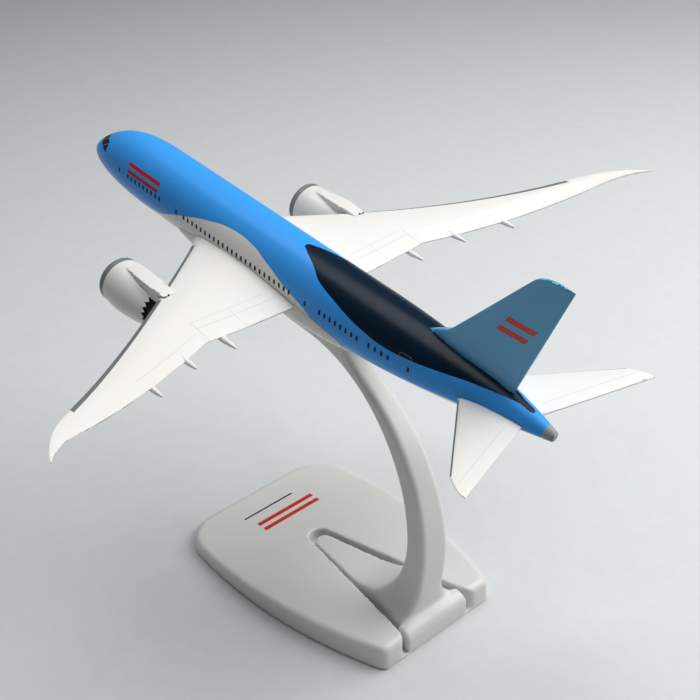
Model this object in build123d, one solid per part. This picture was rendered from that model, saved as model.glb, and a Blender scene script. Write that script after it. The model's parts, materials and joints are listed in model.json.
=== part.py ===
from build123d import *
import os
from math import cos, pi, radians, sin, sqrt, tan

# A 1:200 push-together airliner model on its two-piece plastic stand. Millimetres.
# Stand frame: +X towards the nose, +Y to the port wing, +Z up, origin under the middle of the base.
# Aircraft frame: x forward, y to port, z up, origin on the fuselage axis halfway along its length;
# to_stand() pitches it nose-up and lifts it onto the arm.

# ---- aircraft: overall sizes ----
MODEL_LENGTH = 283.5
NOSE_X = 141.0
TAIL_X = NOSE_X - MODEL_LENGTH
PITCH = 7.0
AXIS_HEIGHT = 146.2
AXIS_X = 26.25

# ---- fuselage ----
HALF_WIDTH = 14.5
TOP = 15.05
BOTTOM = -14.9
NOSE_TIP_Z = -4.75
NOSE_LENGTH = 55.0
TAIL_LENGTH = 103.5
TAIL_END_TOP = 6.3
TAIL_END_BOTTOM = 2.2
TAIL_END_HALF_WIDTH = 2.0
OVAL_POINTS = 16
NOSE_CAP = 0.05
NOSE_SECTIONS = 10
TAIL_SECTIONS = 9
SHELL = 1.6
BOSS = (2.2, 5.0)
PIN = (0.9, 2.0)
PIN_PLACES = ((92.0, 11.9), (35.0, 11.9), (-55.0, 11.9))
GLUE_GAP = 0.08
PUSH_GAP = 0.15
SLOT_PLAY = 0.1

# ---- belly fairing ----
FAIRING_FRONT = 60.0
FAIRING_REAR = -46.0
FAIRING_AXIS_Z = -6.5
FAIRING_END = (12.8, 8.1)
FAIRING_SWELL = (3.0, 2.1)

# ---- wing ----
WING_ROOT_Y = 15.0
WING_KINK_Y = 57.6
WING_RAKE_Y = 127.0
WING_TIP_Y = 150.25
WING_TIP_X = -66.4
ROOT_LE_X = 44.0
LE_SWEEP = 36.4
INNER_TE_X = -20.4
OUTER_TE_SWEEP = 23.0
ROOT_THICKNESS = 0.115
TIP_THICKNESS = 0.095
INNER_STATIONS = (12.5, 14.0, 16.0, 18.5, 22.0, 30.0, 39.0, 48.0)
MIDDLE_STATIONS = (WING_KINK_Y, 66.0, 75.0, 83.5, 92.0, 101.0, 110.0, 118.5, WING_RAKE_Y)
TIP_STATIONS = (130.5, 134.0, 137.5, 140.5, 143.0, 145.5, 147.2, 148.7, WING_TIP_Y)
WING_STATIONS = INNER_STATIONS + MIDDLE_STATIONS + TIP_STATIONS
GLOVE_Y = 22.0
GLOVE = 2.3
EDGE = 0.45
WING_TAB = (24.0, 2.4)
WING_TAB_X = 16.0
WING_TAB_Z = -5.5
WING_TAB_INNER_Y = 1.5
FLAP_PODS = ((49.9, -28.4, -2.7), (71.2, -32.3, 0.3), (92.4, -41.0, 3.6))
POD_LENGTH = 18.0
POD_RADIUS = 1.3
POD_TIP = 0.45
POD_PITCH = 3.0

# ---- tailplane ----
TAILPLANE_ROOT_Y = 3.0
TAILPLANE_TIP_Y = 50.0
TAILPLANE_LE = (-104.5, 8.4, 2.0)
TAILPLANE_TE = (-132.9, 8.4, 4.2)
TAILPLANE_LE_SWEEP = 40.1
TAILPLANE_TE_SWEEP = 18.7
TAILPLANE_TIP_Z = 8.7
TAILPLANE_CORNER_Y = 46.0
TAILPLANE_STATIONS = (TAILPLANE_ROOT_Y, TAILPLANE_CORNER_Y, 47.2, 48.2, 49.0, 49.6, TAILPLANE_TIP_Y)
TAILPLANE_THICKNESS = 0.085
TAILPLANE_TAB = (10.0, 1.3)
TAILPLANE_TAB_X = -117.5
TAILPLANE_TAB_Z = 3.2
TAILPLANE_TAB_INNER_Y = 1.2

# ---- fin ----
FIN_LE_FOOT = (-91.7, 21.8)
FIN_LE_TOP = (-122.6, 58.8)
FIN_TIP_MID = (-127.8, 61.9)
FIN_TE_TOP = (-139.6, 62.7)
FIN_TE_FOOT = (-122.0, 9.2)
FIN_FRONT = (-77.0, 13.6)
FIN_SINK = 6.0
FIN_ROOT_THICKNESS = 4.2
FIN_TIP_THICKNESS = 1.3
FIN_TAB = (10.0, 1.4)
FIN_TAB_X = -116.0
FIN_TAB_BOTTOM = 5.6

# ---- engines ----
ENGINE_INLET_X = 49.5
ENGINE_Y = 51.0
ENGINE_Z = -12.4
RING_LENGTH = 3.4
NACELLE_LENGTH = 29.0
LIP_RADIUS = 8.9
RING_RADIUS = 10.05
NACELLE_RADIUS = 10.5
NOZZLE_RADIUS = 7.9
BORE_RADIUS = 7.9
NOZZLE_WALL = 0.5
CHEVRONS = 20
CHEVRON_DEPTH = 1.8
FAN_X = -7.2
FAN_BLADES = 18
SPINNER_RADIUS = 2.5
CORE_START = -9.4
CORE_END = -33.0
CORE_RADIUS = (6.0, 5.7, 4.3)
CORE_WALL = 0.9
CORE_LIP = 0.35
PLUG_TIP = 0.35
PLUG_END = -37.0
PYLON_HALF_WIDTH = 3.2
PYLON_TAB = (10.0, 4.0, 1.3)
PYLON_TAB_Z = -2.9
ENGINE_PULL = 10.0
PULL_STEPS = 8

# ---- stand ----
BASE_FRONT_X = 66.5
BASE_REAR_X = -61.75
BASE_FRONT_CORNER = 20.0
BASE_HALF_WIDTH = 45.0
BASE_MID = (-13.75, 43.8)
BASE_REAR = (-57.2, 33.0)
BASE_REAR_CORNER = 4.5
BASE_REAR_HEIGHT = 12.2
BASE_SLOPE = 0.0583
BASE_ROUNDING = 3.2
BASE_WALL = 2.0
BASE_FLOOR = 1.0
RIB = 1.4
RIB_PITCH = 24.0
SMALLEST_POCKET = 400.0
RECESS_FRONT_X = 20.6
RECESS_FRONT_RADIUS = 5.2
RECESS_TAPER = 0.185
RECESS_MOUTH_ROUNDING = 4.0
FOOT_FRONT_X = 16.6
FOOT_FRONT_RADIUS = 4.2
FOOT_TAPER = 0.165
FOOT_DROP = 1.3
FOOT_LIFT = 0.1
BAR = (7.6, 35.0, 11.9)
BAR_ROUNDING = 5.5
ARM_ROUNDING = 2.5
# Side profile of the arm as (x, z), front edge from the foot up and back edge down again.
ARM_FRONT = (
    (-10.0, 7.6), (-23.0, 9.6), (-34.5, 14.9), (-44.1, 27.0), (-48.9, 45.0), (-47.6, 62.0), (-41.6, 80.5),
    (-31.5, 97.0), (-17.0, 110.6), (-2.0, 118.3), (12.0, 121.5), (27.0, 123.6), (38.0, 128.0),
)
ARM_BACK = (
    (-2.0, 140.0), (-9.5, 126.0), (-21.5, 114.8), (-35.4, 104.0), (-47.0, 89.6),
    (-55.2, 72.0), (-59.2, 52.0), (-59.0, 36.0), (-57.0, 22.0), (-55.5, 11.0),
)
ARM_LOW = 6.0
# Half width of the arm as (z, half width).
ARM_WIDTHS = (
    (6.0, 17.0), (10.0, 14.4), (15.0, 10.6), (22.0, 8.4), (32.0, 7.8),
    (50.0, 7.5), (70.0, 6.7), (90.0, 6.0), (112.0, 5.3), (145.0, 5.3),
)
SADDLE_GAP = 0.15
FLARE_TOP = 28.0
TONGUE = (14.0, 6.0)
TONGUE_X = -14.0
TONGUE_TOP_Z = -6.5
SOCKET_WALL = 2.0


def to_stand(shape):
    """Aircraft frame to stand frame."""
    return Pos(AXIS_X, 0, AXIS_HEIGHT) * Rot(0, -PITCH, 0) * shape


def block(x_range, y_range, z_range):
    """Rectangular block given by its limits."""
    size = [high - low for low, high in (x_range, y_range, z_range)]
    middle = [(high + low) / 2 for low, high in (x_range, y_range, z_range)]
    return Pos(*middle) * Box(*size)


# ---------------------------------------------------------------- fuselage
def oval(x, half_width, top, bottom, grow):
    """Elliptical cross-section of the fuselage at x, grown outwards by grow, its seam under the belly."""
    middle = (top + bottom) / 2
    half_height = (top - bottom) / 2 + grow
    turns = [2 * pi * i / OVAL_POINTS for i in range(OVAL_POINTS)]
    points = [(x, (half_width + grow) * sin(a), middle - half_height * cos(a)) for a in turns]
    return make_face(Spline(*points, periodic=True))


def nose_oval(t, grow=0.0):
    """Section at the fraction t of the nose, blunt at 0 and full at 1."""
    half_width = HALF_WIDTH * (1 - (1 - t) ** 2.2) ** 0.62
    top = NOSE_TIP_Z + (TOP - NOSE_TIP_Z) * (1 - (1 - t) ** 2.9)
    bottom = NOSE_TIP_Z + (BOTTOM - NOSE_TIP_Z) * (1 - (1 - t) ** 2.4) ** 0.5
    return oval(NOSE_X - t * NOSE_LENGTH, half_width, top, bottom, grow)


def tail_oval(s, grow=0.0):
    """Section at the fraction s of the tail, full at 0; the belly sweeps up to the tail cone."""
    half_width = HALF_WIDTH + (TAIL_END_HALF_WIDTH - HALF_WIDTH) * s**2.05
    top = TOP + (TAIL_END_TOP - TOP) * s**3.3
    bottom = BOTTOM + (TAIL_END_BOTTOM - BOTTOM) * s**1.42
    return oval(TAIL_X + (1 - s) * TAIL_LENGTH, half_width, top, bottom, grow)


def fuselage_form(grow=0.0, first=0.0015, last=1.0):
    """Solid fuselage grown by grow, from the nose fraction first to the tail fraction last."""
    tip_steps = [t for t in (0.0015, 0.004, 0.009, 0.016, 0.025, 0.036, NOSE_CAP) if t >= first]
    nose_steps = [NOSE_CAP + (1 - NOSE_CAP) * i / NOSE_SECTIONS for i in range(NOSE_SECTIONS + 1)]
    tail_steps = [i / TAIL_SECTIONS for i in range(TAIL_SECTIONS + 1) if i / TAIL_SECTIONS <= last]
    form = loft([nose_oval(t, grow) for t in nose_steps])
    if first < NOSE_CAP:
        form = loft([nose_oval(t, grow) for t in tip_steps], ruled=True) + form
    tail = loft([tail_oval(s, grow) for s in tail_steps])
    barrel = extrude(tail_oval(0.0, grow), amount=MODEL_LENGTH - NOSE_LENGTH - TAIL_LENGTH)
    return form + barrel + tail


def fairing_form(grow=0.0):
    """Swelling under the wing: ellipses that sink into the fuselage at both ends."""
    middle = (FAIRING_FRONT + FAIRING_REAR) / 2
    half_length = (FAIRING_FRONT - FAIRING_REAR) / 2
    rings = []
    for u in (-1.0, -0.85, -0.65, -0.4, 0.0, 0.4, 0.65, 0.85, 1.0):
        swell = 1 - abs(u) ** 3
        half_width = FAIRING_END[0] + FAIRING_SWELL[0] * swell
        half_height = FAIRING_END[1] + FAIRING_SWELL[1] * swell
        low = FAIRING_AXIS_Z - half_height
        high = FAIRING_AXIS_Z + half_height
        rings.append(oval(middle + u * half_length, half_width, high, low, grow))
    return loft(rings)


def tab_block(tab_x, tab_z, tab, y_range, play=0.0):
    """Flat tab of a wing or tailplane, or the slot for it when play is given."""
    length = tab[0] / 2 + play
    thickness = tab[1] / 2 + play
    return block((tab_x - length, tab_x + length), y_range, (tab_z - thickness, tab_z + thickness))


def wing_slot():
    return tab_block(WING_TAB_X, WING_TAB_Z, WING_TAB, (-20, 20), SLOT_PLAY)


def tailplane_slot():
    return tab_block(TAILPLANE_TAB_X, TAILPLANE_TAB_Z, TAILPLANE_TAB, (-12, 12), SLOT_PLAY)


def fin_slot():
    length = FIN_TAB[0] / 2 + SLOT_PLAY
    half_width = FIN_TAB[1] / 2 + SLOT_PLAY
    x_range = (FIN_TAB_X - length, FIN_TAB_X + length)
    return block(x_range, (-half_width, half_width), (FIN_TAB_BOTTOM - SLOT_PLAY, 20))


def tongue_slot():
    length = TONGUE[0] / 2 + SLOT_PLAY
    half_width = TONGUE[1] / 2 + SLOT_PLAY
    x_range = (TONGUE_X - length, TONGUE_X + length)
    return block(x_range, (-half_width, half_width), (-20, TONGUE_TOP_Z + SLOT_PLAY))


def fuselage_halves(outer, cavity):
    """Two shells that meet on the centre plane, with three pairs of pin and boss inside."""
    shell = outer - cavity - wing_slot() - tailplane_slot() - fin_slot() - tongue_slot()
    halves = []
    for side in (1, -1):
        y_range = (0, 30) if side > 0 else (-30, 0)
        half = shell & block((TAIL_X - 5, NOSE_X + 5), y_range, (-40, 40))
        for x, z in PIN_PLACES:
            turn = Pos(x, 0, z) * Rot(90 if side < 0 else -90, 0, 0)
            half = half + (turn * Pos(0, 0, BOSS[1] / 2) * Cylinder(*BOSS) & outer)
            if side > 0:
                half = half + turn * Pos(0, 0, 0.5 - PIN[1] / 2) * Cylinder(PIN[0], PIN[1] + 1.0)
            else:
                half = half - turn * Pos(0, 0, PIN[1] / 2) * Cylinder(PIN[0] + GLUE_GAP, PIN[1] + 0.6)
        halves.append(half)
    return halves


def wing_box(room):
    """Frame inside the fuselage that both wing tabs push into."""
    margin = WING_TAB[0] / 2 + 4.0
    x_range = (WING_TAB_X - margin, WING_TAB_X + margin)
    frame = block(x_range, (-20, 20), (WING_TAB_Z - 3.4, WING_TAB_Z + 3.4))
    return (frame & room) - wing_slot()


def stand_socket(room):
    """Sleeve above the belly slot that holds the tongue of the arm."""
    half_length = TONGUE[0] / 2 + SOCKET_WALL
    half_width = TONGUE[1] / 2 + SOCKET_WALL
    x_range = (TONGUE_X - half_length, TONGUE_X + half_length)
    sleeve = block(x_range, (-half_width, half_width), (-20, TONGUE_TOP_Z + 1.8))
    return (sleeve & room) - tongue_slot()


def tail_block(room):
    """Bulkhead in the tail with the slots for the fin and both tailplanes."""
    plug = block((-125.0, -109.0), (-12, 12), (-10, 20))
    return (plug & room) - tailplane_slot() - fin_slot()


# ---------------------------------------------------------------- lifting surfaces
def airfoil(y, nose, tail, thickness, grow=0.0):
    """Closed section at y from nose (x, z) to tail (x, z); thickness is a fraction of the chord."""
    chord = sqrt((nose[0] - tail[0]) ** 2 + (nose[1] - tail[1]) ** 2)
    along = ((tail[0] - nose[0]) / chord, (tail[1] - nose[1]) / chord)
    steps = 8

    def point(fraction, side):
        root = 0.2969 * sqrt(fraction) - 0.126 * fraction
        half = 5 * thickness * (root - 0.3516 * fraction**2 + 0.2843 * fraction**3 - 0.1015 * fraction**4)
        half = half * chord + EDGE / 2 * fraction + grow * (1 if fraction > 0 else 0)
        camber = 0.06 * chord * fraction * (1 - fraction)
        reach = fraction * chord + grow * (2 * fraction - 1)
        offset = camber + side * half
        x = nose[0] + along[0] * reach + along[1] * offset
        return (x, y, nose[1] + along[1] * reach - along[0] * offset)

    fractions = [(1 - cos(pi * i / steps)) / 2 for i in range(steps + 1)]
    upper = [point(f, 1) for f in reversed(fractions)]
    lower = [point(f, -1) for f in fractions]
    return make_face(Wire([Spline(*upper), Spline(*lower), Line(lower[-1], upper[0])]))


def wing_z(y):
    """Height of the wing's trailing edge, curving up towards the tip."""
    t = (y - WING_ROOT_Y) / (150.0 - WING_ROOT_Y)
    return -3.6 + 3.6 * t + 7.4 * t**2 + 16.2 * t**3


def wing_edges(y):
    """Leading and trailing edge (x, z) of the wing at y."""
    t = (y - WING_ROOT_Y) / (150.0 - WING_ROOT_Y)
    lead = ROOT_LE_X - (y - WING_ROOT_Y - 1) * tan(radians(LE_SWEEP))
    trail = INNER_TE_X - max(0.0, y - WING_KINK_Y) * tan(radians(OUTER_TE_SWEEP))
    if y < GLOVE_Y:
        lead += GLOVE * ((GLOVE_Y - y) / 8.0) ** 2
    if y > WING_RAKE_Y:
        rake = (y - WING_RAKE_Y) / (WING_TIP_Y - WING_RAKE_Y)
        lead_end = ROOT_LE_X - (WING_RAKE_Y - WING_ROOT_Y - 1) * tan(radians(LE_SWEEP))
        trail_end = INNER_TE_X - (WING_RAKE_Y - WING_KINK_Y) * tan(radians(OUTER_TE_SWEEP))
        lead = lead_end + (WING_TIP_X + 0.9 - lead_end) * (0.62 * rake + 0.38 * rake**3)
        trail = trail_end + (WING_TIP_X - trail_end) * (0.55 * rake + 0.45 * rake**3)
    return (lead, wing_z(y) - 2.0 * (1 - t)), (trail, wing_z(y))


def wing_form(grow=0.0):
    """Port wing lofted through WING_STATIONS, root to raked tip."""
    sections = []
    for y in WING_STATIONS:
        t = (y - WING_ROOT_Y) / (WING_TIP_Y - WING_ROOT_Y)
        thickness = ROOT_THICKNESS + (TIP_THICKNESS - ROOT_THICKNESS) * t
        lead, trail = wing_edges(y)
        sections.append(airfoil(y, lead, trail, thickness, grow))
    return loft(sections, ruled=True)


def flap_pod():
    """Slim pod along x over a flap track, its rear tip at the origin."""
    belly = ThreePointArc((0, POD_TIP), (0.45 * POD_LENGTH, POD_RADIUS), (POD_LENGTH, POD_TIP))
    rest = Polyline((POD_LENGTH, POD_TIP), (POD_LENGTH, 0), (0, 0), (0, POD_TIP))
    return revolve(make_face(Wire([belly, *rest.edges()])), axis=Axis.X)


def port_wing(fuselage_room, fairing_room):
    """Port wing with its tab, three flap-track pods and the slot for the pylon's tongue."""
    wing = wing_form() - fuselage_room - fairing_room
    for y, x, z in FLAP_PODS:
        wing = wing + Pos(x, y, z) * Rot(0, POD_PITCH, 0) * flap_pod()
    tab_end = WING_ROOT_Y + 5.0
    wing = wing + tab_block(WING_TAB_X, WING_TAB_Z, WING_TAB, (WING_TAB_INNER_Y, tab_end))
    return wing - pylon_tongue(SLOT_PLAY)


def tailplane_form():
    """Port tailplane: straight tapered panel with a cropped front corner at the tip."""
    sections = []
    for y in TAILPLANE_STATIONS:
        run = y - TAILPLANE_LE[1]
        share = run / (TAILPLANE_TIP_Y - TAILPLANE_LE[1])
        lead = TAILPLANE_LE[0] - run * tan(radians(TAILPLANE_LE_SWEEP))
        lead -= 0.5 * max(0.0, y - TAILPLANE_CORNER_Y) ** 1.6
        trail = TAILPLANE_TE[0] - run * tan(radians(TAILPLANE_TE_SWEEP))
        lead_z = TAILPLANE_LE[2] + share * (TAILPLANE_TIP_Z - TAILPLANE_LE[2])
        trail_z = TAILPLANE_TE[2] + share * (TAILPLANE_TIP_Z - TAILPLANE_TE[2])
        sections.append(airfoil(y, (lead, lead_z), (trail, trail_z), TAILPLANE_THICKNESS))
    return loft(sections, ruled=True)


def port_tailplane(fuselage_room):
    tab_end = TAILPLANE_LE[1] + 2.0
    tab = tab_block(TAILPLANE_TAB_X, TAILPLANE_TAB_Z, TAILPLANE_TAB, (TAILPLANE_TAB_INNER_Y, tab_end))
    return (tailplane_form() - fuselage_room) + tab


def fin(fuselage_room):
    """Fin and its dorsal fillet: side outline cut from a body that thins towards the tip and edges."""
    sunk_front = (FIN_FRONT[0] - FIN_SINK, FIN_FRONT[1] - FIN_SINK)
    sunk_rear = (FIN_TE_FOOT[0], FIN_TE_FOOT[1] - FIN_SINK)
    with BuildSketch(Plane.XZ) as side:
        with BuildLine():
            Spline(FIN_FRONT, (-84.6, 17.2), FIN_LE_FOOT, tangents=((-1, 0.16), (-0.64, 0.77)))
            Line(FIN_LE_FOOT, FIN_LE_TOP)
            Spline(FIN_LE_TOP, FIN_TIP_MID, FIN_TE_TOP, tangents=((-0.64, 0.77), (-1, 0)))
            Polyline(FIN_TE_TOP, FIN_TE_FOOT, sunk_rear, sunk_front, FIN_FRONT)
        make_face()
    plate = Pos(0, 8, 0) * extrude(side.sketch, amount=16)
    slices = []
    for z, lead, trail, thick in (
        (2.0, -72.0, -119.0, 3.0),
        (16.0, -82.5, -124.4, 3.8),
        (24.0, -92.5, -127.0, 3.6),
        (44.0, -109.2, -133.8, 2.4),
        (64.0, -126.0, -140.6, FIN_TIP_THICKNESS),
    ):
        slices.append(fin_slice(z, lead + 1.2, trail - 0.3, thick))
    blade = loft(slices, ruled=True) & plate
    half = FIN_TAB[0] / 2
    thick = FIN_TAB[1] / 2
    tab = block((FIN_TAB_X - half, FIN_TAB_X + half), (-thick, thick), (FIN_TAB_BOTTOM, 16))
    return (blade - fuselage_room) + tab


def fin_slice(z, lead, trail, thick):
    """Symmetrical section of the fin at height z."""
    chord = lead - trail
    shape = ((0.0, 0.0), (0.03, 0.17), (0.12, 0.33), (0.3, 0.48), (0.5, 0.46), (0.75, 0.29), (1.0, 0.1))
    port = [(lead - f * chord, h * thick, z) for f, h in shape]
    starboard = [(x, -y, z) for x, y, _ in reversed(port)]
    return make_face(Wire([Spline(*port), Line(port[-1], starboard[0]), Spline(*starboard)]))


# ---------------------------------------------------------------- engines
def engine_place(shape):
    return Pos(ENGINE_INLET_X, ENGINE_Y, ENGINE_Z) * shape


def turned(edges):
    """Solid of revolution about the engine's axis from a closed set of edges in the xy plane."""
    return revolve(make_face(Wire(edges)), axis=Axis.X)


def inlet_ring():
    """Rounded metal-coloured lip of the inlet."""
    back = -RING_LENGTH
    outer = Spline((0, LIP_RADIUS), (back, RING_RADIUS), tangents=((0, 1), (-1, 0.1)))
    inner = Spline((back, BORE_RADIUS), (0, LIP_RADIUS), tangents=((1, 0.05), (0, 1)))
    return engine_place(turned([outer, Line((back, RING_RADIUS), (back, BORE_RADIUS)), inner]))


def nacelle_shell():
    """Fan cowl with a saw-toothed nozzle edge."""
    front = -RING_LENGTH
    rear = -NACELLE_LENGTH
    skin_points = [(front, RING_RADIUS), (-10.5, NACELLE_RADIUS), (-20.0, 9.75), (rear, NOZZLE_RADIUS)]
    skin = Spline(*skin_points, tangents=((-1, 0.1), (-1, -0.24)))
    inner_rear = NOZZLE_RADIUS - NOZZLE_WALL
    duct = Spline((rear, inner_rear), (-16.0, 8.4), (front, BORE_RADIUS), tangents=((1, 0.12), (1, 0)))
    ends = [Line((rear, NOZZLE_RADIUS), (rear, inner_rear)), Line((front, BORE_RADIUS), (front, RING_RADIUS))]
    shell = turned([skin, ends[0], duct, ends[1]])
    half_pitch = pi * NOZZLE_RADIUS / CHEVRONS
    notch_points = [(rear - 0.1, half_pitch), (rear - 0.1, -half_pitch), (rear + CHEVRON_DEPTH, 0)]
    notch = extrude(make_face(Polyline(*notch_points, close=True)), amount=12)
    for index in range(CHEVRONS):
        shell = shell - Rot(360 * (index + 0.5) / CHEVRONS, 0, 0) * notch
    return engine_place(shell)


def pylon_tongue(play=0.0):
    length, width, height = PYLON_TAB
    front = 20.5
    x_range = (front - length - play, front)
    y_range = (ENGINE_Y - width / 2 - play, ENGINE_Y + width / 2 + play)
    return block(x_range, y_range, (PYLON_TAB_Z - height / 2 - play, PYLON_TAB_Z + height / 2 + play))


def pylon(wing_room):
    """Pylon that rises out of the cowl's crown and laps over the wing's leading edge.

    The wing's room is cut out all along the way that the engine pulls forward.
    """
    with BuildSketch(Plane.XZ) as side:
        with BuildLine():
            Spline((46.0, -3.2), (40.0, -1.7), (32.0, -0.6), (22.0, -0.1), (10.5, -1.0))
            Polyline((10.5, -1.0), (0.5, -4.0), (0.5, -4.4))
            Spline((0.5, -4.4), (11.0, -6.4), (19.6, -7.3))
            Polyline((19.6, -7.3), (22.2, -4.0), (46.0, -4.0), (46.0, -3.2))
        make_face()
    slab = Pos(0, ENGINE_Y + 6, 0) * extrude(side.sketch, amount=12)
    widths = ((46.0, 0.0), (41.0, 1.4), (33.0, 2.7), (20.0, PYLON_HALF_WIDTH), (8.0, 1.9), (0.8, 0.4))
    with BuildSketch() as plan:
        with BuildLine():
            Spline(*widths)
            Line((0.8, 0.4), (0.8, -0.4))
            Spline(*[(x, -half) for x, half in reversed(widths)])
        make_face()
    lens = Pos(0, ENGINE_Y, -12) * extrude(plan.sketch, amount=16)
    solid = slab & lens
    for step in range(PULL_STEPS + 1):
        solid = solid - Pos(-ENGINE_PULL * step / PULL_STEPS, 0, 0) * wing_room
    return max(solid.solids(), key=lambda piece: piece.volume)


def duct_room():
    """The open duct inside the cowl, kept clear of the pylon."""
    return Pos(ENGINE_INLET_X - NACELLE_LENGTH / 2, ENGINE_Y, ENGINE_Z) * Rot(0, 90, 0) * Cylinder(7.6, 34)


def port_nacelle(wing_room):
    mount = (pylon(wing_room) - duct_room()) + pylon_tongue()
    return nacelle_shell() + mount


def fan():
    """Moulded fan insert: back plate, raised blades and spinner."""
    plate_radius = BORE_RADIUS - 0.1
    plate = Rot(0, 90, 0) * Cylinder(plate_radius, 1.2)
    blade = Pos(0.9, 0, 5.0) * Rot(0, 0, 35) * Box(1.6, 0.5, 5.2)
    wheel = plate
    for index in range(FAN_BLADES):
        wheel = wheel + Rot(360 * index / FAN_BLADES, 0, 0) * blade
    tip = 4.4
    cone = Spline((tip, 0), (2.6, 1.7), (0, SPINNER_RADIUS), tangents=((0, 1), (-1, 0.25)))
    spinner = turned([cone, Line((0, SPINNER_RADIUS), (0, 0)), Line((0, 0), (tip, 0))])
    return engine_place(Pos(FAN_X, 0, 0) * (wheel + spinner))


def core_nozzle():
    """Hot-section cowl behind the fan, open at the rear."""
    front, middle, rear = CORE_RADIUS
    mid_x = -22.0
    inner_front, inner_rear = front - CORE_WALL, rear - CORE_LIP
    skin = Spline((CORE_START, front), (mid_x, middle), (CORE_END, rear), tangents=((-1, 0), (-1, -0.2)))
    bore = Spline((CORE_END, inner_rear), (mid_x, middle - CORE_WALL), (CORE_START, inner_front))
    ends = [Line((CORE_END, rear), (CORE_END, inner_rear)), Line((CORE_START, inner_front), (CORE_START, front))]
    return engine_place(turned([skin, ends[0], bore, ends[1]]))


def exhaust_plug():
    """Centre cone with the flange that seats it inside the core nozzle."""
    flange_front = -20.0
    flange_rear = flange_front - 1.5
    flange_radius = 4.7
    cone_radius = 3.1
    cone_start, cone_end = (flange_rear, cone_radius), (PLUG_END, PLUG_TIP)
    cone = Spline(cone_start, (-30.0, 2.7), cone_end, tangents=((-1, 0.05), (-1, -0.42)))
    flange = [(flange_front, 0), (flange_front, flange_radius), (flange_rear, flange_radius), cone_start]
    outline = Polyline(cone_end, (PLUG_END, 0), *flange)
    return engine_place(turned([cone, *outline.edges()]))


# ---------------------------------------------------------------- stand
def base_top(x):
    """Height of the base's sloping top at x."""
    return BASE_REAR_HEIGHT - (x - BASE_REAR_X) * BASE_SLOPE


def base_outline(inset=0.0):
    """Plan of the base: straight front, bulging sides, straight rear, drawn inset from the outside."""
    front = BASE_FRONT_X - inset
    back = BASE_REAR_X + inset
    half_width = BASE_HALF_WIDTH - inset
    corner = (BASE_FRONT_X - BASE_FRONT_CORNER, half_width)
    front_y = BASE_HALF_WIDTH - BASE_FRONT_CORNER
    cut_in = (BASE_FRONT_CORNER - inset) * (1 - sqrt(0.5))
    middle = (BASE_MID[0], BASE_MID[1] - inset)
    rear = (BASE_REAR[0], BASE_REAR[1] - inset)
    rear_y = BASE_REAR[1] - BASE_REAR_CORNER
    with BuildSketch() as plan:
        with BuildLine():
            for side in (1, -1):
                nose_arc = ((front, front_y), (front - cut_in, half_width - cut_in), corner)
                for arc in (nose_arc, (corner, middle, rear)):
                    ThreePointArc(*[(x, side * y) for x, y in arc])
                ends = ((rear[0], side * rear[1]), (back, side * rear_y))
                Spline(*ends, tangents=((-1, side * -0.33), (0, -side)))
            Line((back, rear_y), (back, -rear_y))
            Line((front, front_y), (front, -front_y))
        make_face()
    return plan.sketch


def sloped_block(plan, drop, low=0.0):
    """Plan extruded from the height low up to the sloping top, lowered by drop."""
    tall = Pos(0, 0, low) * extrude(plan, amount=BASE_REAR_HEIGHT + 3 - low)
    front = BASE_FRONT_X + 5
    back = BASE_REAR_X - 5
    corners = [(back, -3), (front, -3), (front, base_top(front) - drop), (back, base_top(back) - drop)]
    wedge = Pos(0, 60, 0) * extrude(Plane.XZ * make_face(Polyline(*corners, close=True)), amount=120)
    return tall & wedge


def taper_outline(front_x, radius, taper, rear_x, grow=0.0):
    """Wedge plan with a round front that widens towards the rear."""
    centre = front_x - radius
    nose = radius + grow
    tail = radius + (centre - rear_x) * taper + grow
    with BuildSketch() as plan:
        with BuildLine():
            ThreePointArc((centre, nose), (centre + nose, 0), (centre, -nose))
            Line((centre, -nose), (rear_x, -tail))
            Line((rear_x, -tail), (rear_x, tail))
            Line((rear_x, tail), (centre, nose))
        make_face()
    return plan.sketch


def recess_cut():
    """Wedge recess that is open at the rear, its mouth rounded outwards."""
    rear = BASE_REAR_X
    cut = extrude(taper_outline(RECESS_FRONT_X, RECESS_FRONT_RADIUS, RECESS_TAPER, rear - 6), amount=30)
    centre = RECESS_FRONT_X - RECESS_FRONT_RADIUS
    mouth_y = RECESS_FRONT_RADIUS + (centre - rear) * RECESS_TAPER
    flare = RECESS_MOUTH_ROUNDING
    for side in (1, -1):
        corner = Pos(rear, side * mouth_y, 15) * Box(2 * flare, 2 * flare, 30)
        round_off = Pos(rear + flare, side * (mouth_y + flare - 0.4), 15) * Cylinder(flare, 30)
        cut = cut + (corner - round_off)
    return Pos(0, 0, BASE_FLOOR) * cut


def stand_base():
    """Hollow wedge-shaped shell, ribbed underneath, with the recess for the foot of the arm."""
    body = sloped_block(base_outline(), 0.0)
    rim = body.edges().filter_by(lambda edge: edge.center().Z > 2.6 and edge.bounding_box().min.Z > 2.6)
    body = fillet(rim, BASE_ROUNDING)
    body = body - recess_cut()
    hollow = sloped_block(base_outline(BASE_WALL), BASE_WALL, -1.0)
    rear = BASE_REAR_X
    keep = taper_outline(RECESS_FRONT_X, RECESS_FRONT_RADIUS, RECESS_TAPER, rear - 6, BASE_WALL)
    hollow = hollow - Pos(0, 0, -2) * extrude(keep, amount=32)
    for side in (1, -1):
        mouth_side = sorted((side * 15, side * 26))
        hollow = hollow - block((rear, rear + 9), mouth_side, (-2, 30))
    for index in range(-1, 2):
        y = index * RIB_PITCH
        hollow = hollow - block((rear, BASE_FRONT_X), (y - RIB / 2, y + RIB / 2), (-2, 30))
    for index in range(-2, 3):
        x = index * RIB_PITCH
        hollow = hollow - block((x - RIB / 2, x + RIB / 2), (-60, 60), (-2, 30))
    pockets = [pocket for pocket in hollow.solids() if pocket.volume > SMALLEST_POCKET]
    for pocket in pockets:
        body = body - pocket
    return body


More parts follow.
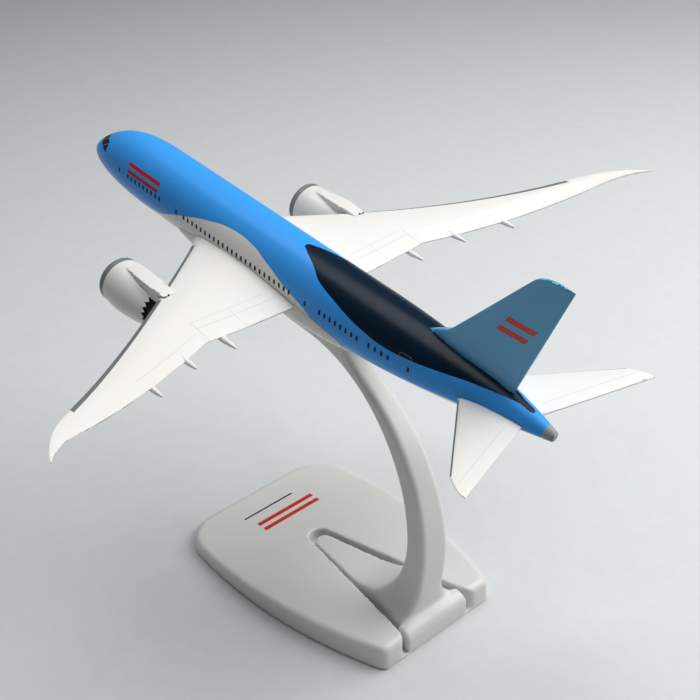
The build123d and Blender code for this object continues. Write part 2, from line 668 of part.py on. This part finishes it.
def arm_blade():
    """Curved arm: its side profile crossed with its front profile."""
    with BuildSketch(Plane.XZ) as side:
        with BuildLine():
            Spline(*ARM_FRONT)
            Polyline(ARM_FRONT[-1], (ARM_FRONT[-1][0], ARM_BACK[0][1]), ARM_BACK[0])
            Spline(*ARM_BACK)
            Polyline(ARM_BACK[-1], (ARM_BACK[-1][0], ARM_LOW), (ARM_FRONT[0][0], ARM_LOW), ARM_FRONT[0])
        make_face()
    slab = Pos(0, 20, 0) * extrude(side.sketch, amount=40)
    (low_z, low_half), (high_z, high_half) = ARM_WIDTHS[0], ARM_WIDTHS[-1]
    with BuildSketch(Plane.YZ) as front:
        with BuildLine():
            Spline(*[(half, z) for z, half in ARM_WIDTHS])
            Line((high_half, high_z), (-high_half, high_z))
            Spline(*[(-half, z) for z, half in ARM_WIDTHS])
            Line((-low_half, low_z), (low_half, low_z))
        make_face()
    profile = Pos(-80, 0, 0) * extrude(front.sketch, amount=160)
    return slab & profile


def foot_plate():
    """Wedge foot with its rounded bar along the rear edge."""
    rear = BASE_REAR_X
    low = BASE_FLOOR + FOOT_LIFT
    plan = taper_outline(FOOT_FRONT_X, FOOT_FRONT_RADIUS, FOOT_TAPER, rear + BAR[0] - 2.0)
    plate = sloped_block(plan, FOOT_DROP)
    plate = plate & block((rear, BASE_FRONT_X), (-40, 40), (low, 30))
    bar = block((rear, rear + BAR[0]), (-BAR[1] / 2, BAR[1] / 2), (low, BAR[2]))
    back_edge = bar.edges().filter_by(Axis.Y).group_by(Axis.Z)[-1].sort_by(Axis.X)[0]
    bar = fillet([back_edge], BAR_ROUNDING)
    front_edge = bar.edges().filter_by(Axis.Y).group_by(Axis.Z)[-1].sort_by(Axis.X)[-1]
    bar = fillet([front_edge], 1.2)
    return plate + bar


def stand_arm(fairing_room, fuselage_room):
    """Arm and foot, one moulding, with the tongue that enters the belly."""
    blade = arm_blade()
    blade = fillet(long_edges(blade), ARM_ROUNDING)
    blade = blade - to_stand(fairing_room) - to_stand(fuselage_room)
    blade = blade & block((-70, 60), (-20, 20), (0, 132))
    keep = max(blade.solids(), key=lambda solid: solid.volume) - beside_foot()
    half_length = TONGUE[0] / 2
    half_width = TONGUE[1] / 2
    x_range = (TONGUE_X - half_length, TONGUE_X + half_length)
    tongue = block(x_range, (-half_width, half_width), (-20.0, TONGUE_TOP_Z))
    return keep + foot_plate() + to_stand(tongue)


def beside_foot():
    """Room on both sides of the foot, where the flare of the arm would run into the base."""
    plan = taper_outline(FOOT_FRONT_X, FOOT_FRONT_RADIUS, FOOT_TAPER, BASE_REAR_X - 5)
    return block((-80, 40), (-30, 30), (-1, FLARE_TOP)) - extrude(plan, amount=FLARE_TOP)


def long_edges(blade):
    """The four long corner edges of the arm."""
    return [edge for edge in blade.edges() if edge.bounding_box().size.Z > 60]


def mirrored(shape):
    """Starboard copy of a port piece."""
    return mirror(shape, about=Plane.XZ)


def save(name, shape):
    solids = shape.solids()
    export_step(solids[0] if len(solids) == 1 else Compound(solids), f"parts/{name}.step")
    print(name, len(solids), round(sum(solid.volume for solid in solids)))


def main():
    os.makedirs("parts", exist_ok=True)
    outer = fuselage_form()
    cavity = fuselage_form(-SHELL, NOSE_CAP, 0.9)
    room_inside = fuselage_form(-SHELL - GLUE_GAP, NOSE_CAP, 0.9)
    fuselage_room = fuselage_form(PUSH_GAP)
    fairing_room = fairing_form(PUSH_GAP)

    left, right = fuselage_halves(outer, cavity)
    save("fuselage_left", to_stand(left))
    save("fuselage_right", to_stand(right))
    fairing = fairing_form() - fuselage_form(GLUE_GAP) - wing_slot() - tongue_slot()
    save("belly_fairing", to_stand(fairing))
    save("wing_box", to_stand(wing_box(room_inside)))
    save("stand_socket", to_stand(stand_socket(room_inside)))
    save("tail_block", to_stand(tail_block(room_inside)))

    wing_room = wing_form(PUSH_GAP)
    port_pieces = {
        "wing": port_wing(fuselage_room, fairing_room),
        "tailplane": port_tailplane(fuselage_room),
        "nacelle": port_nacelle(wing_room),
        "inlet_ring": inlet_ring(),
        "fan": fan(),
        "core_nozzle": core_nozzle(),
        "exhaust_plug": exhaust_plug(),
    }
    for name, piece in port_pieces.items():
        save(f"left_{name}", to_stand(piece))
        save(f"right_{name}", to_stand(mirrored(piece)))
    save("fin", to_stand(fin(fuselage_room)))

    save("stand_base", stand_base())
    save("stand_arm", stand_arm(fairing_form(SADDLE_GAP), fuselage_form(SADDLE_GAP)))


main()
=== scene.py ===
"""Looks of a desktop airliner model on its stand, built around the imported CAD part.

Lengths are in metres, apart from the aircraft millimetres that the paint lines and body rings use.
"""

import json
from math import radians

import bpy
from mathutils import Matrix, Vector

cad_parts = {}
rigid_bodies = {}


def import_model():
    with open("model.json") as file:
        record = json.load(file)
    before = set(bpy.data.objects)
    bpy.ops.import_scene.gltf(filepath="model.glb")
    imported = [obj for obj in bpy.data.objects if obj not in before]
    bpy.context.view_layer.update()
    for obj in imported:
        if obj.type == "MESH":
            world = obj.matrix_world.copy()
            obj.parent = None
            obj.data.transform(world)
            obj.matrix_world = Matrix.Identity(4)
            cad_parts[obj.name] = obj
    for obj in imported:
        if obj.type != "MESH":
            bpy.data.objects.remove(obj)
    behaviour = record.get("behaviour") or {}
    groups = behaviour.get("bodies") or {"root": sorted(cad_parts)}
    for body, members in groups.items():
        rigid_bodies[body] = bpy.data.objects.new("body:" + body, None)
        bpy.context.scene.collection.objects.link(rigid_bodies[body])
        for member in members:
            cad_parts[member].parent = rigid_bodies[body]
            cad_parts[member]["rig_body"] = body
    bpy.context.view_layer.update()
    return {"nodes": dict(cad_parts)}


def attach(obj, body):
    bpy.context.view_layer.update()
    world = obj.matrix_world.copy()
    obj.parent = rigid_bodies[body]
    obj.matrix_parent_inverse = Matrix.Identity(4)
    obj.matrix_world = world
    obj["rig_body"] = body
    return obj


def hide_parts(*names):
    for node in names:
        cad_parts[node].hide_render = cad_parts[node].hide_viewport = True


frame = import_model()

# ---- where the aircraft sits in the stand's frame (mm and degrees) ----
PITCH = 7.0
AIRCRAFT_ORIGIN_MM = Vector((26.25, 0.0, 146.2))

# ---- linear colours ----
SKY_BLUE = (0.043, 0.33, 0.86, 1)
NAVY = (0.0014, 0.011, 0.026, 1)
FIN_BLUE = (0.105, 0.40, 0.68, 1)
WHITE = (0.80, 0.79, 0.755, 1)
STAND_WHITE = (0.72, 0.715, 0.69, 1)
LEADING_GREY = (0.16, 0.17, 0.18, 1)
RING_GREY = (0.19, 0.205, 0.215, 1)
TAIL_GREY = (0.30, 0.33, 0.33, 1)
CABIN_BLACK = (0.004, 0.005, 0.007, 1)
COCKPIT_BROWN = (0.010, 0.008, 0.008, 1)
LINE_GREY = (0.22, 0.23, 0.24, 1)
PANEL_LINE = (0.60, 0.595, 0.57, 1)
MARK_RED = (0.62, 0.022, 0.012, 1)
CORE_BROWN = (0.035, 0.027, 0.022, 1)
FAN_GREY = (0.05, 0.05, 0.055, 1)
INSERT_GREY = (0.2, 0.2, 0.21, 1)
FLOOR_GREY = (0.67, 0.695, 0.70, 1)

# ---- paint lines on the fuselage: (x, z) in aircraft millimetres ----
BELLY_LINE = (
    (-150, 3.6), (-110, -0.2), (-70, -7.0), (-50, -9.0), (-40, -8.8), (-34, -6.8), (-30, -4.0), (-24, -0.5),
    (-13, 2.8), (0, 6.9), (14, 9.5), (24, 9.5), (36, 7.6), (55, 1.8), (82, -8.6), (95, -11), (150, -12),
)
SWOOSH_LINE = (
    (-150, 8.0), (-133, 8.7), (-124, 10.0), (-110, 9.9), (-95, 8.1), (-80, 6.1), (-69, 5.4), (-57, 6.4),
    (-39, 9.4), (-30, 11.1), (-20, 13.9), (-13, 14.8), (-9.5, 15.1), (0, 19.0), (150, 19.5),
)
CURVE_X = (-150.0, 150.0)
CURVE_Z = (-20.0, 20.0)
# Each row: first x, last x, number of windows, height.
WINDOW_ROWS = (
    (96.05, 71.6, 9, 2.15), (53.6, -16.7, 24, 1.6), (-35.1, -56.5, 8, 2.15), (-62.8, -72.7, 4, 2.4),
    (103.5, 103.5, 1, 2.1), (59.1, 59.1, 1, 1.8), (-26.5, -26.5, 1, 1.55), (-82.6, -82.6, 1, 2.4),
)
WINDOW_HALF = (0.62, 1.12)
# Each door: middle x, height of its window.
DOORS = ((106.0, 2.1), (61.7, 1.8), (-24.2, 1.55), (-80.3, 2.4))
DOOR_HALF = (3.1, 5.6)
DOOR_CORNER = 1.1
DOOR_LINE = 0.13
DOOR_DROP = 0.6
# Plain stripes on the nose: height of each, and their common x.
NOSE_STRIPES = ((3.9, 5.5), (6.9, 8.5))
NOSE_STRIPE_X = (73.5, 97.0)
SIDE_FROM = 5.0
# Cockpit panes: height, foremost x, half width of the middle post, and the side posts.
PANE_Z = (2.9, 6.9)
PANE_X = 119.6
MIDDLE_POST = 0.25
SIDE_POSTS = ((5.2, 5.5), (8.0, 8.25))
TAIL_CAP_X = -139.2
# Plain stripes on the fin, leaning with it.
FIN_STRIPES = ((33.5, 36.0), (38.5, 41.0))
FIN_STRIPE_X = (-126.0, -113.5)
FIN_STRIPE_MIDDLE_Z = 37.0
FIN_LEAN = 0.6
# Plain stripes on the base, in the stand's millimetres.
BASE_STRIPES = ((36.5, 38.9), (41.3, 43.7))
BASE_STRIPE_Y = (-18.0, 15.0)
BASE_LINE_X = (50.0, 51.0)
BASE_LINE_Y = (-12.0, 17.0)
BASE_TOP_Z = (4.0, 12.5)

# ---- wide blends where the arm meets its foot ----
ARM_VOXEL = 0.0006
BASE_VOXEL = 0.0008
ARM_BLEND_ROUNDS = 40
ROUNDING_ROUNDS = 3
BLEND_Z = (0.0085, 0.030)
BLEND_RISE = 0.004
BLEND_FALL = 0.010
BLEND_X = (-0.064, -0.008)


# ================================================================ small tools
def only(piece):
    """Selects one piece and nothing else."""
    bpy.ops.object.select_all(action="DESELECT")
    piece.hide_set(False)
    piece.select_set(True)
    bpy.context.view_layer.objects.active = piece


def body_of(node):
    return frame["nodes"][node]["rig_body"]


def finished_copy(node, name, smooth_angle=30.0, gap=2e-6):
    """Merged and smoothly shaded copy of a CAD node, shown in its place."""
    source = frame["nodes"][node]
    copy = bpy.data.objects.new(name, source.data.copy())
    bpy.context.scene.collection.objects.link(copy)
    only(copy)
    bpy.ops.object.mode_set(mode="EDIT")
    bpy.ops.mesh.select_all(action="SELECT")
    bpy.ops.mesh.remove_doubles(threshold=gap)
    bpy.ops.object.mode_set(mode="OBJECT")
    bpy.ops.object.shade_smooth_by_angle(angle=radians(smooth_angle))
    even = copy.modifiers.new("even_shading", "WEIGHTED_NORMAL")
    even.keep_sharp = True
    even.weight = 80
    bpy.ops.object.modifier_apply(modifier=even.name)
    copy.data.materials.clear()
    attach(copy, body_of(node))
    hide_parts(node)
    return copy


# Outer form of the fuselage in aircraft millimetres: cylinder between NOSE_X and TAIL_X, tapered beyond.
BODY_HALF = 14.5
BODY_TOP = 15.05
BODY_BOTTOM = -14.9
NOSE_X = 86.0
NOSE_LENGTH = 55.0
TAIL_X = -39.0
TAIL_LENGTH = 103.5
RINGS = 60
RING_POINTS = 96


def body_ring(x):
    """Half width, top and bottom of the fuselage at x."""
    if x > NOSE_X:
        t = min((x - NOSE_X) / NOSE_LENGTH, 0.9995)
        half = BODY_HALF * (1 - t**2.2) ** 0.62
        return half, -4.75 + 19.8 * (1 - t**2.9), -4.75 - 10.15 * (1 - t**2.4) ** 0.5
    s = max((TAIL_X - x) / TAIL_LENGTH, 0.0)
    return BODY_HALF - 12.5 * s**2.05, BODY_TOP - 8.75 * s**3.3, BODY_BOTTOM + 17.1 * s**1.42


def body_form():
    """Smooth form of the whole fuselage, extruded ring by ring from tail to nose."""
    bpy.ops.object.select_all(action="DESELECT")
    bpy.ops.mesh.primitive_circle_add(vertices=RING_POINTS, radius=1.0, rotation=(0, radians(90), 0))
    form = bpy.context.active_object
    form.name = "body_form"
    bpy.ops.object.transform_apply(location=True, rotation=True, scale=True)
    reach = [TAIL_X - TAIL_LENGTH * (1 - (i / RINGS) ** 1.5) for i in range(RINGS)]
    reach += [TAIL_X, NOSE_X]
    reach += [NOSE_X + NOSE_LENGTH * (1 - (1 - i / RINGS) ** 2) for i in range(1, RINGS + 1)]
    bpy.ops.object.mode_set(mode="EDIT")
    bpy.ops.mesh.select_all(action="SELECT")
    half, top, bottom = body_ring(reach[0])
    centre = (top + bottom) / 2
    bpy.ops.transform.resize(value=(1, half, (top - bottom) / 2), center_override=(0, 0, 0))
    bpy.ops.transform.translate(value=(reach[0], 0, centre))
    for last_x, x in zip(reach, reach[1:]):
        before = (half, (top - bottom) / 2)
        half, top, bottom = body_ring(x)
        bpy.ops.mesh.extrude_region_move(TRANSFORM_OT_translate={"value": (x - last_x, 0, 0)})
        growth = (1, half / before[0], (top - bottom) / 2 / before[1])
        bpy.ops.transform.resize(value=growth, center_override=(x, 0, centre))
        bpy.ops.transform.translate(value=(0, 0, (top + bottom) / 2 - centre))
        centre = (top + bottom) / 2
    bpy.ops.mesh.select_all(action="SELECT")
    bpy.ops.mesh.normals_make_consistent(inside=False)
    bpy.ops.object.mode_set(mode="OBJECT")
    bpy.ops.object.shade_smooth()
    to_stand = Matrix.Translation(AIRCRAFT_ORIGIN_MM) @ Matrix.Rotation(radians(-PITCH), 4, "Y")
    form.matrix_world = Matrix.Scale(0.001, 4) @ to_stand
    bpy.ops.object.transform_apply(location=True, rotation=True, scale=True)
    return form


def even_out(copy, form, reach=0.0004):
    """Gives the outside of a copy the smooth shading of form."""
    only(copy)
    even = copy.modifiers.new("form_shading", "DATA_TRANSFER")
    even.object = form
    even.use_loop_data = True
    even.data_types_loops = {"CUSTOM_NORMAL"}
    even.loop_mapping = "POLYINTERP_NEAREST"
    even.use_max_distance = True
    even.max_distance = reach
    bpy.ops.object.modifier_apply(modifier=even.name)


def mark_blend(copy):
    """Vertex group over the lower end of the arm, fading out up and down."""
    group = copy.vertex_groups.new(name="blend")
    low, high = BLEND_Z
    for vertex in copy.data.vertices:
        x, _, z = vertex.co
        rise = min(max((z - low) / BLEND_RISE, 0.0), 1.0) * min(max((high - z) / BLEND_FALL, 0.0), 1.0)
        if rise > 0 and BLEND_X[0] < x < BLEND_X[1]:
            group.add([vertex.index], rise, "REPLACE")


def smooth_over(copy, group, factor, rounds):
    even = copy.modifiers.new("smoothing", "SMOOTH")
    even.factor = factor
    even.iterations = rounds
    even.vertex_group = group
    bpy.ops.object.modifier_apply(modifier=even.name)


def soften(copy, voxel, blend_rounds=0):
    """Even mesh over a moulded piece with rounded edges, and a wide blend where it has blend rounds."""
    only(copy)
    grid = copy.modifiers.new("even_mesh", "REMESH")
    grid.mode = "VOXEL"
    grid.voxel_size = voxel
    grid.use_smooth_shade = True
    bpy.ops.object.modifier_apply(modifier=grid.name)
    smooth_over(copy, "", 0.5, ROUNDING_ROUNDS)
    if blend_rounds:
        mark_blend(copy)
        smooth_over(copy, "blend", 0.8, blend_rounds)
    bpy.ops.object.shade_smooth()


# ================================================================ materials
class Graph:
    """A node tree being built; each method adds a node and returns its output socket."""

    def __init__(self, name, roughness, coat=0.0, specular=0.5):
        self.material = bpy.data.materials.new(name)
        self.material.use_nodes = True
        self.tree = self.material.node_tree
        self.shader = self.tree.nodes["Principled BSDF"]
        self.shader.inputs["Roughness"].default_value = roughness
        self.shader.inputs["Coat Weight"].default_value = coat
        self.shader.inputs["Coat Roughness"].default_value = 0.12
        self.shader.inputs["Specular IOR Level"].default_value = specular

    def add(self, kind):
        return self.tree.nodes.new(kind)

    def link(self, value, socket):
        if isinstance(value, bpy.types.NodeSocket):
            self.tree.links.new(value, socket)
        else:
            socket.default_value = value

    def math(self, operation, *values):
        node = self.add("ShaderNodeMath")
        node.operation = operation
        for value, socket in zip(values, node.inputs):
            self.link(value, socket)
        return node.outputs[0]

    def plus(self, a, b):
        return self.math("ADD", a, b)

    def minus(self, a, b):
        return self.math("SUBTRACT", a, b)

    def times(self, a, b):
        return self.math("MULTIPLY", a, b)

    def above(self, a, b):
        return self.math("GREATER_THAN", a, b)

    def below(self, a, b):
        return self.math("LESS_THAN", a, b)

    def size(self, a):
        return self.math("ABSOLUTE", a)

    def either(self, *masks):
        total = masks[0]
        for mask in masks[1:]:
            total = self.math("MAXIMUM", total, mask)
        return total

    def both(self, *masks):
        total = masks[0]
        for mask in masks[1:]:
            total = self.math("MULTIPLY", total, mask)
        return total

    def between(self, value, low, high):
        return self.both(self.above(value, low), self.below(value, high))

    def axes(self, aircraft=True):
        """x, y and z in millimetres, in the aircraft's frame or the stand's."""
        place = self.add("ShaderNodeTexCoord").outputs["Object"]
        mapping = self.add("ShaderNodeMapping")
        mapping.inputs["Scale"].default_value = (1000, 1000, 1000)
        if aircraft:
            turn = Matrix.Rotation(radians(PITCH), 3, "Y")
            mapping.inputs["Rotation"].default_value = (0, radians(PITCH), 0)
            mapping.inputs["Location"].default_value = -(turn @ AIRCRAFT_ORIGIN_MM)
        self.tree.links.new(place, mapping.inputs["Vector"])
        split = self.add("ShaderNodeSeparateXYZ")
        self.tree.links.new(mapping.outputs["Vector"], split.inputs[0])
        self.place = mapping.outputs["Vector"]
        return split.outputs["X"], split.outputs["Y"], split.outputs["Z"]

    def curve(self, x, points):
        """Height of a drawn line at x, from its (x, z) points in millimetres."""
        share = self.math("DIVIDE", self.minus(x, CURVE_X[0]), CURVE_X[1] - CURVE_X[0])
        node = self.add("ShaderNodeFloatCurve")
        line = node.mapping.curves[0]
        wide, tall = CURVE_X[1] - CURVE_X[0], CURVE_Z[1] - CURVE_Z[0]
        placed = [((px - CURVE_X[0]) / wide, (pz - CURVE_Z[0]) / tall) for px, pz in points]
        line.points[0].location = placed[0]
        line.points[1].location = placed[-1]
        for spot in placed[1:-1]:
            line.points.new(*spot)
        node.mapping.update()
        self.tree.links.new(share, node.inputs["Value"])
        return self.plus(self.times(node.outputs[0], CURVE_Z[1] - CURVE_Z[0]), CURVE_Z[0])

    def coat_over(self, under, over, mask):
        """Colour over laid on colour under where mask is 1."""
        node = self.add("ShaderNodeMix")
        node.data_type = "RGBA"
        self.link(mask, node.inputs[0])
        self.link(under, node.inputs[6])
        self.link(over, node.inputs[7])
        return node.outputs[2]

    def grain(self, scale, strength, distance):
        """Very fine unevenness of moulded and painted plastic."""
        noise = self.add("ShaderNodeTexNoise")
        noise.inputs["Scale"].default_value = scale
        noise.inputs["Detail"].default_value = 3
        self.tree.links.new(self.place, noise.inputs["Vector"])
        bump = self.add("ShaderNodeBump")
        bump.inputs["Strength"].default_value = strength
        bump.inputs["Distance"].default_value = distance
        self.tree.links.new(noise.outputs["Fac"], bump.inputs["Height"])
        self.tree.links.new(bump.outputs["Normal"], self.shader.inputs["Normal"])
        return bump

    def finish(self, colour):
        self.link(colour, self.shader.inputs["Base Color"])
        return self.material


def window_row(g, x, z, first, last, count, height):
    """Mask of a row of upright rounded windows."""
    pitch = (first - last) / (count - 1) if count > 1 else 10.0
    steps = g.math("DIVIDE", g.minus(first, x), pitch)
    offset = g.times(g.minus(g.math("FRACT", g.plus(steps, 0.5)), 0.5), pitch)
    across = g.math("POWER", g.size(g.math("DIVIDE", offset, WINDOW_HALF[0])), 4.0)
    up = g.math("POWER", g.size(g.math("DIVIDE", g.minus(z, height), WINDOW_HALF[1])), 4.0)
    in_row = g.between(x, last - pitch / 2, first + pitch / 2)
    return g.both(g.below(g.plus(across, up), 1.0), in_row)


def door_line(g, x, z, middle, height):
    """Mask of the thin rounded outline of a door."""
    reach = g.math("MAXIMUM", g.minus(g.size(g.minus(x, middle)), DOOR_HALF[0] - DOOR_CORNER), 0.0)
    low = g.minus(z, height - DOOR_DROP)
    lift = g.math("MAXIMUM", g.minus(g.size(low), DOOR_HALF[1] - DOOR_CORNER), 0.0)
    distance = g.minus(g.math("SQRT", g.plus(g.times(reach, reach), g.times(lift, lift))), DOOR_CORNER)
    return g.below(g.size(distance), DOOR_LINE)


def fuselage_paint():
    g = Graph("sky_blue_paint", roughness=0.30, coat=0.0, specular=0.16)
    x, y, z = g.axes()
    on_side = g.above(g.size(y), SIDE_FROM)
    colour = g.coat_over(WHITE, SKY_BLUE, g.above(z, g.curve(x, BELLY_LINE)))
    colour = g.coat_over(colour, NAVY, g.above(z, g.curve(x, SWOOSH_LINE)))
    doors = g.either(*[door_line(g, x, z, middle, height) for middle, height in DOORS])
    colour = g.coat_over(colour, LINE_GREY, g.both(g.times(doors, 0.6), on_side))
    bars = g.either(*[g.between(z, *stripe) for stripe in NOSE_STRIPES])
    colour = g.coat_over(colour, MARK_RED, g.both(bars, g.between(x, *NOSE_STRIPE_X), on_side))
    rows = g.either(*[window_row(g, x, z, *row) for row in WINDOW_ROWS])
    colour = g.coat_over(colour, CABIN_BLACK, g.both(rows, on_side))
    pane = g.both(g.between(z, *PANE_Z), g.above(x, PANE_X), g.above(g.size(y), MIDDLE_POST))
    posts = g.either(*[g.between(g.size(y), *post) for post in SIDE_POSTS])
    colour = g.coat_over(colour, COCKPIT_BROWN, g.both(pane, g.minus(1.0, posts)))
    colour = g.coat_over(colour, TAIL_GREY, g.below(x, TAIL_CAP_X))
    g.grain(0.35, 0.05, 0.0002)
    return g.finish(colour)


def wing_paint():
    g = Graph("white_wing_paint", roughness=0.34, coat=0.2)
    x, y, z = g.axes()
    out = g.size(y)
    behind_edge = g.minus(g.minus(44.0, g.times(g.minus(out, 16.0), 0.7373)), x)
    off_pylon = g.minus(1.0, g.between(out, 47.6, 55.0))
    edge = g.both(g.below(behind_edge, 2.7), g.between(out, 19.5, 127.0), off_pylon)
    from_rear = g.minus(x, g.minus(-20.4, g.times(g.math("MAXIMUM", g.minus(out, 57.6), 0.0), 0.4245)))
    flap = g.both(g.between(from_rear, 8.1, 8.35), g.between(out, 17.0, 56.0))
    spoiler = g.both(g.between(from_rear, 12.3, 12.5), g.between(out, 19.0, 55.0))
    outer = g.both(g.between(from_rear, 6.0, 6.2), g.between(out, 58.0, 96.0))
    gaps = g.either(g.between(out, 56.0, 56.3), g.between(out, 38.0, 38.2))
    ends = g.both(gaps, g.between(from_rear, 0.0, 12.4))
    aileron = g.both(g.between(out, 57.6, 57.8), g.between(from_rear, 0.0, 6.1))
    lines = g.either(flap, spoiler, outer, ends, aileron)
    colour = g.coat_over(WHITE, PANEL_LINE, lines)
    colour = g.coat_over(colour, LEADING_GREY, edge)
    g.grain(0.5, 0.06, 0.0002)
    return g.finish(colour)


def tailplane_paint():
    g = Graph("white_tailplane_paint", roughness=0.34, coat=0.2)
    x, y, z = g.axes()
    out = g.size(y)
    behind_edge = g.minus(g.minus(-104.5, g.times(g.minus(out, 8.4), 0.842)), x)
    edge = g.both(g.below(behind_edge, 0.75), g.between(out, 10.5, 46.0))
    from_rear = g.minus(x, g.minus(-132.9, g.times(g.minus(out, 8.4), 0.3385)))
    hinge = g.both(g.between(from_rear, 5.0, 5.2), g.between(out, 10.0, 46.5))
    colour = g.coat_over(WHITE, PANEL_LINE, hinge)
    colour = g.coat_over(colour, LEADING_GREY, edge)
    g.grain(0.5, 0.06, 0.0002)
    return g.finish(colour)


def fin_paint():
    g = Graph("fin_blue_paint", roughness=0.36, coat=0.15)
    x, y, z = g.axes()
    bars = g.either(*[g.between(z, *stripe) for stripe in FIN_STRIPES])
    lean = g.plus(x, g.times(g.minus(z, FIN_STRIPE_MIDDLE_Z), FIN_LEAN))
    colour = g.coat_over(FIN_BLUE, MARK_RED, g.both(bars, g.between(lean, *FIN_STRIPE_X)))
    g.grain(0.5, 0.06, 0.0002)
    return g.finish(colour)


def stand_plastic():
    g = Graph("stand_white_plastic", roughness=0.38, coat=0.1)
    x, y, z = g.axes(aircraft=False)
    on_top = g.between(z, *BASE_TOP_Z)
    stripes = g.either(*[g.between(x, *stripe) for stripe in BASE_STRIPES])
    colour = g.coat_over(STAND_WHITE, MARK_RED, g.both(stripes, g.between(y, *BASE_STRIPE_Y), on_top))
    thin = g.both(g.between(x, *BASE_LINE_X), g.between(y, *BASE_LINE_Y), on_top)
    colour = g.coat_over(colour, CABIN_BLACK, thin)
    g.grain(0.6, 0.08, 0.0003)
    return g.finish(colour)


def plain(name, colour, roughness, coat=0.0):
    """One-colour finish with a faint cloudiness in the colour."""
    g = Graph(name, roughness, coat)
    g.axes()
    bump = g.grain(0.5, 0.08, 0.0002)
    noise = g.add("ShaderNodeTexNoise")
    noise.inputs["Scale"].default_value = 0.12
    g.tree.links.new(g.place, noise.inputs["Vector"])
    darker = tuple(c * 0.93 for c in colour[:3]) + (1,)
    return g.finish(g.coat_over(colour, darker, noise.outputs["Fac"]))


# ================================================================ pieces
def dress(node, material, smooth_angle=30.0):
    piece = finished_copy(node, node + "_finish", smooth_angle)
    piece.data.materials.append(material)
    return piece


def dress_aircraft():
    blue = fuselage_paint()
    white = plain("white_paint", WHITE, 0.34, 0.2)
    wing = wing_paint()
    tail = tailplane_paint()
    insert = plain("grey_insert_plastic", INSERT_GREY, 0.55)
    dark = plain("dark_core_plastic", CORE_BROWN, 0.5)
    fan_grey = plain("dark_fan_plastic", FAN_GREY, 0.45)
    ring = plain("grey_lip_paint", RING_GREY, 0.33, 0.2)
    form = body_form()
    for side in ("left", "right"):
        even_out(dress(f"fuselage_{side}", blue, 25.0), form)
        dress(f"{side}_wing", wing)
        dress(f"{side}_tailplane", tail)
        dress(f"{side}_nacelle", white)
        dress(f"{side}_inlet_ring", ring)
        dress(f"{side}_fan", fan_grey)
        dress(f"{side}_core_nozzle", dark)
        dress(f"{side}_exhaust_plug", dark)
    bpy.data.objects.remove(form)
    dress("belly_fairing", white, 25.0)
    dress("fin", fin_paint(), 35.0)
    for node in ("wing_box", "stand_socket", "tail_block"):
        dress(node, insert)


def dress_stand():
    plastic = stand_plastic()
    soften(dress("stand_base", plastic, 35.0), BASE_VOXEL)
    soften(dress("stand_arm", plastic, 35.0), ARM_VOXEL, ARM_BLEND_ROUNDS)


# ================================================================ studio
CAMERA_PLACE = (-0.3323, 0.2818, 0.3909)
CAMERA_HEADING = -41.162
CAMERA_DROP = 32.229
CAMERA_ROLL = -1.807
SENSOR_MM = 36.0
LENS_MM = 64.41


def camera():
    """Camera looking along its heading (degrees from x towards y), down by its drop, turned by its roll."""
    lens = bpy.data.cameras.new("studio_camera")
    lens.sensor_width = SENSOR_MM
    lens.lens = LENS_MM
    lens.clip_start = 0.01
    stand = bpy.data.objects.new("studio_camera", lens)
    bpy.context.scene.collection.objects.link(stand)
    heading = Matrix.Rotation(radians(CAMERA_HEADING - 90), 4, "Z")
    drop = Matrix.Rotation(radians(90 - CAMERA_DROP), 4, "X")
    roll = Matrix.Rotation(radians(CAMERA_ROLL), 4, "Z")
    stand.matrix_world = Matrix.Translation(CAMERA_PLACE) @ heading @ drop @ roll
    bpy.context.scene.camera = stand


def area_light(name, place, target, size, power, colour=(1, 1, 1)):
    light = bpy.data.lights.new(name, "AREA")
    light.shape = "RECTANGLE"
    light.size, light.size_y = size
    light.energy = power
    light.color = colour
    holder = bpy.data.objects.new(name, light)
    bpy.context.scene.collection.objects.link(holder)
    holder.location = place
    holder.rotation_euler = (Vector(target) - Vector(place)).to_track_quat("-Z", "Y").to_euler()


def studio():
    bpy.ops.object.select_all(action="DESELECT")
    bpy.ops.mesh.primitive_plane_add(size=8.0, location=(1.0, -1.0, 0.0))
    floor = bpy.context.active_object
    floor.name = "studio_floor"
    bpy.ops.object.transform_apply(location=True, rotation=True, scale=True)
    floor.data.materials.append(plain("floor_matte", FLOOR_GREY, 0.75))
    middle = (0.0, 0.0, 0.05)
    area_light("ceiling_light", (0.20, -0.10, 1.05), middle, (0.75, 0.75), 6.3, (1.0, 0.995, 0.985))
    area_light("window_light", (-0.42, -0.64, 0.72), (-0.15, -0.10, 0.0), (0.9, 0.9), 9.3, (1.0, 1.0, 1.0))
    world = bpy.data.worlds.new("studio_air")
    bpy.context.scene.world = world
    world.use_nodes = True
    world.node_tree.nodes["Background"].inputs["Color"].default_value = (0.80, 0.83, 0.86, 1)
    world.node_tree.nodes["Background"].inputs["Strength"].default_value = 0.13


dress_aircraft()
dress_stand()
studio()
camera()
bpy.context.scene.view_settings.view_transform = "Standard"
